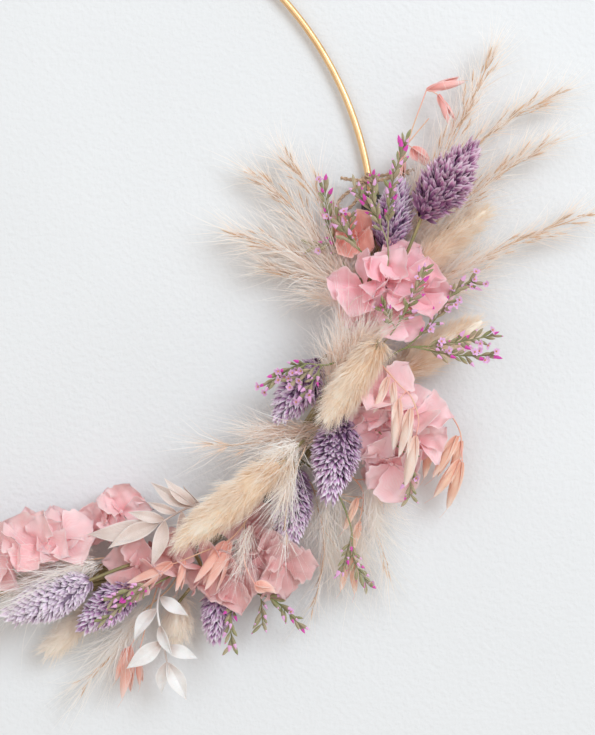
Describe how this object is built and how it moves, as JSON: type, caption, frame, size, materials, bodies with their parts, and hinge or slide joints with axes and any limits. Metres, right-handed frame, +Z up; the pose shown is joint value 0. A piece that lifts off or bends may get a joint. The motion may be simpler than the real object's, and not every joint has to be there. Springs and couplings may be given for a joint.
{
  "type": "dried flower wreath",
  "caption": "Round gilt wire hoop with dried flower heads, papery blooms, grasses and leaves bound along one side; it lies flat on its back.",
  "frame": {"origin": "middle of the wreath's box on the surface that it lies on", "axes": "+Z up through the wreath's face, +Y towards the top of the wreath as it hangs, +X to its right seen from the front"},
  "size_m": [0.3932, 0.3492, 0.048],
  "materials": {
    "hoop": "satin gilt wire",
    "sheaf": "dry straw stems",
    "tape": "crinkled black floral tape",
    "twine": "fuzzy jute",
    "phalaris": "dusty violet scales with pale edges",
    "lagurus": "soft cream fur",
    "hydrangea": "thin papery pink petals",
    "oats": "papery peach husks",
    "ruscus": "bleached, parchment-like leaves",
    "statice": "dull olive buds with magenta tips",
    "plume": "silky beige spikelets"
  },
  "bodies": {
    "root": {"hoop": "hoop", "bound_stems": "sheaf", "stem_tape_1": "tape", "stem_tape_2": "tape", "stem_tape_3": "tape", "twine_bow": "twine", "phalaris_1": "phalaris", "phalaris_2": "phalaris", "phalaris_3": "phalaris", "phalaris_4": "phalaris", "phalaris_5": "phalaris", "phalaris_6": "phalaris", "phalaris_7": "phalaris", "phalaris_8": "phalaris", "phalaris_9": "phalaris", "lagurus_1": "lagurus", "lagurus_2": "lagurus", "lagurus_3": "lagurus", "lagurus_4": "lagurus", "lagurus_5": "lagurus", "lagurus_6": "lagurus", "lagurus_7": "lagurus", "hydrangea_1": "hydrangea", "hydrangea_2": "hydrangea", "hydrangea_3": "hydrangea", "hydrangea_4": "hydrangea", "hydrangea_5": "hydrangea", "hydrangea_6": "hydrangea", "hydrangea_7": "hydrangea", "hydrangea_8": "hydrangea", "oats_1": "oats", "oats_2": "oats", "oats_3": "oats", "oats_4": "oats", "oats_5": "oats", "oats_6": "oats", "oats_7": "oats", "ruscus_1": "ruscus", "ruscus_2": "ruscus", "ruscus_3": "ruscus", "statice_1": "statice", "statice_2": "statice", "statice_3": "statice", "statice_4": "statice", "statice_5": "statice", "statice_6": "statice", "statice_7": "statice", "statice_8": "statice", "statice_9": "statice", "statice_10": "statice", "plume_1": "plume", "plume_2": "plume", "plume_3": "plume", "plume_4": "plume", "plume_5": "plume", "plume_6": "plume", "plume_7": "plume", "plume_8": "plume", "plume_9": "plume", "plume_10": "plume"}
  },
  "joints": []
}
